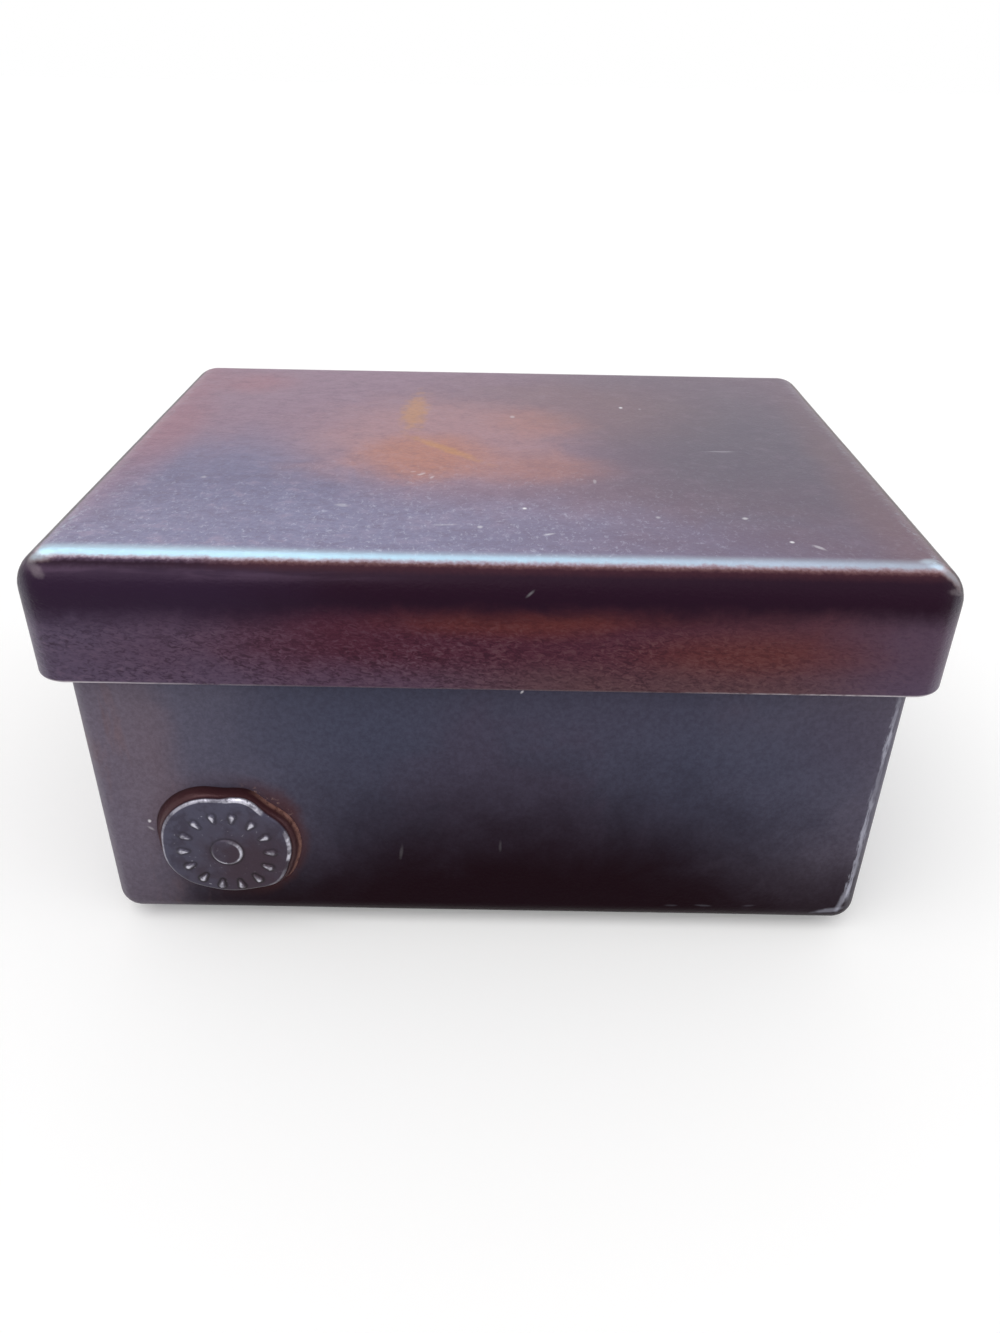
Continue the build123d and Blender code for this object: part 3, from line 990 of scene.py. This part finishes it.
def makeSeal():
    around, lip, thickness = seal["around"], seal["lip"], seal["thickness"]
    foot = outline(seal["flare"], seal["lean"])
    brow = outline(0.0, 0.0)
    face = brow - lip
    mesh = bmesh.new()
    layers = [mesh.verts.layers.float.new(mark) for mark in ("worn", "recessShade", "wall", "foot")]
    middleX, middleZ = seal["middle"][0], seal["middle"][1] - seal["bossDrop"]
    frontY = limits("base_shell")[0].y
    hidden = (0.0, 1.0, 1.0, 1.0)  # the marks where the seal meets the box
    rings = []

    def addPoint(x, z, out, marks):
        vert = mesh.verts.new(Vector((middleX + x, frontY - out, middleZ + z)) * mm)
        for layer, value in zip(layers, marks):
            vert[layer] = value
        return vert

    def addRing(reaches, out, marks=None):
        # the next loop of points; without marks it lies on the face and takes its relief
        ring = []
        for index, reach in enumerate(reaches):
            turn = 2 * pi * index / around
            x, z = reach * cos(turn), reach * sin(turn)
            if marks:
                ring.append(addPoint(x, z, out, marks(turn)))
            else:
                rise, worn, recessShade = sealRelief(x, z)
                ring.append(addPoint(x, z, out + rise, (worn, recessShade, 0.0, 0.0)))
        rings.append(ring)

    field = seal["fieldRadius"]
    for step in range(1, seal["faceRings"] + 1):
        addRing(np.full(around, field * step / seal["faceRings"]), thickness)
    for step in range(1, seal["rimRings"] + 1):
        addRing(field + (face - field) * step / seal["rimRings"], thickness)
    for angle in arc(seal["lipSteps"])[1:]:
        share = angle / (pi / 2)
        out = thickness - lip * (1 - cos(angle))
        addRing(face + lip * sin(angle), out, lambda turn: lipMarks(turn, share))
    for step in range(1, seal["wallRings"] + 1):
        share = step / seal["wallRings"]
        reach = brow + (foot - brow) * share + seal["wallBulge"] * sin(pi * share) * (1 - share)
        recessShade, seam = softStep(share, *seal["wallShade"]), softStep(share, *seal["wallSeam"])
        marks = (0.0, recessShade, 1.0, seam)
        addRing(reach, (thickness - lip) * (1 - share), lambda turn: marks)
    addRing(foot, -seal["sunk"], lambda turn: hidden)

    centre = addPoint(0, 0, thickness + seal["relief"], (0.0, 0.0, 0.0, 0.0))
    back = addPoint(0, 0, -seal["sunk"], hidden)
    for index in range(around):
        after = (index + 1) % around
        mesh.faces.new((centre, rings[0][index], rings[0][after]))
        mesh.faces.new((back, rings[-1][after], rings[-1][index]))
        for near, far in zip(rings, rings[1:]):
            mesh.faces.new((near[index], far[index], far[after], near[after]))
    bmesh.ops.recalc_face_normals(mesh, faces=mesh.faces)
    mount(finishMesh("sealMedallion", mesh), sealFinish(), "base", "seal_medallion")


makeSeal()
print("seal made")


lining = {
    "roll": 0.8,  # where the velvet turns over a card's edge
    "corner": 1.6,
    "crown": 0.22,
    "edgeGap": 0.3,  # the glued side is this much smaller all round
    "floorGap": 0.15,
    "seamGap": 0.2,  # taken off each end of a wall card
    "rollSteps": 5,
    "steps": {"corner": 5, "across": 40, "along": 30},
    "deep": tint(52, 12, 26),
    "lit": tint(104, 30, 52),
    "shader": {
        "Specular IOR Level": 0.1, "Roughness": 0.9, "Sheen Weight": 0.6,
        "Sheen Roughness": 0.45, "Sheen Tint": tint(196, 120, 140),
    },
    "walls": {"front": 0, "right": 90, "back": 180, "left": 270},  # degrees from the front
}


def velvetFinish():
    velvet = Finish("wineVelvet", lining["shader"])
    pile = velvet.noise(0.35, 2, 0.6)
    brushed = velvet.noise(16, 3, 0.5, 1.2, shift=8)
    shade = velvet.between(brushed * 0.75 + pile * 0.35, 0.35, 0.8)
    velvet.paint(
        Base_Color=velvet.mix(shade, lining["deep"], lining["lit"]),
        Normal=velvet.bump(pile, 0.12, 0.6),
    )
    return velvet.material


def cardRings(halfX, halfY, thick):
    # a card with velvet drawn over its front edges; the front swells a little in the middle
    roll, corner, gap = min(lining["roll"], thick * 0.75), lining["corner"], lining["edgeGap"]
    full = thick - lining["crown"]
    rings = [
        makeRing(halfX - corner - gap, halfY - corner - gap, 0, 0.0),
        makeRing(halfX - gap, halfY - gap, corner, 0.0),
        makeRing(halfX, halfY, corner, gap),
    ]
    for angle in arc(lining["rollSteps"]):
        inset = roll * (1 - cos(angle))
        z = full - roll + roll * sin(angle)
        rings.append(makeRing(halfX - inset, halfY - inset, corner - inset, z))
    inset = roll + corner
    rings.append(makeRing(halfX - inset, halfY - inset, 0, full, crown=lining["crown"]))
    return rings


def makeCard(name, node, body, size, place, velvet):
    # size is the card's half width, half height and thickness
    piece = buildRings(name, cardRings(*size), lining["steps"], place=place)
    mount(piece, velvet, body, node)


def makeLining(velvet):
    low, high = limits("floor_lining")
    gap = lining["floorGap"]
    up = Matrix.Translation(Vector((0, 0, low.z)) * mm)
    size = (high.x - gap, high.y - gap, high.z - low.z)
    makeCard("floorVelvet", "floor_lining", "base", size, up, velvet)
    low, high = limits("lid_lining")
    down = Matrix.Translation(Vector((0, 0, high.z)) * mm) @ Matrix.Rotation(pi, 4, "X")
    makeCard("lidVelvet", "lid_lining", "lid", (high.x, high.y, high.z - low.z), down, velvet)
    for side, turn in lining["walls"].items():
        low, high = limits(side + "_lining")
        span = high - low
        thick = min(span.x, span.y)
        outwards = Vector((sin(radians(turn)), -cos(radians(turn)), 0))
        glued = (low + high) / 2 + outwards * (thick / 2)
        stood = Matrix.Rotation(radians(turn), 4, "Z") @ Matrix.Rotation(pi / 2, 4, "X")
        place = Matrix.Translation(glued * mm) @ stood @ Matrix.Rotation(pi, 4, "Y")
        size = (max(span.x, span.y) / 2 - lining["seamGap"], span.z / 2, thick)
        makeCard(side + "Velvet", side + "_lining", "base", size, place, velvet)


makeLining(velvetFinish())
print("lining made")


feet = {
    "flat": 0.4,  # half of the square at a disc's middle
    "profile": (  # inwards from the disc's side, and up as a share of its height
        (1.0, 0.0), (0.35, 0.03), (0.08, 0.15), (0.0, 0.4), (0.0, 0.7), (0.15, 0.9), (0.5, 1.0),
    ),
    "steps": {"corner": 16, "across": 2, "along": 2},
    "deep": tint(20, 17, 22),
    "lit": tint(52, 47, 54),
    "shader": {"Specular IOR Level": 0.1, "Roughness": 0.95, "Sheen Weight": 0.3},
    "discs": (("front", "left"), ("front", "right"), ("back", "left"), ("back", "right")),
}


def feltFinish():
    felt = Finish("blackFelt", feet["shader"])
    fibre = felt.noise(0.5, 4, 0.7, 2.0)
    felt.paint(
        Base_Color=felt.mix(fibre, feet["deep"], feet["lit"]),
        Normal=felt.bump(fibre, 0.2, 0.8),
    )
    return felt.material


def makeFeet(felt):
    flat = feet["flat"]
    for end, side in feet["discs"]:
        node = f"foot_pad_{end}_{side}"
        low, high = limits(node)
        height = high.z - low.z
        rings = [makeRing(flat, flat, 0, 0.0)]
        for inwards, share in feet["profile"]:
            reach = (high.x - low.x) / 2 - inwards
            rings.append(makeRing(reach, reach, reach - flat, height * share))
        rings.append(makeRing(flat, flat, 0, height))
        middle = (low + high) / 2
        place = Matrix.Translation(Vector((middle.x, middle.y, low.z)) * mm)
        name = f"felt{end.capitalize()}{side.capitalize()}"
        piece = buildRings(name, rings, feet["steps"], place=place)
        mount(piece, felt, "base", node)


makeFeet(feltFinish())
print("feet made")
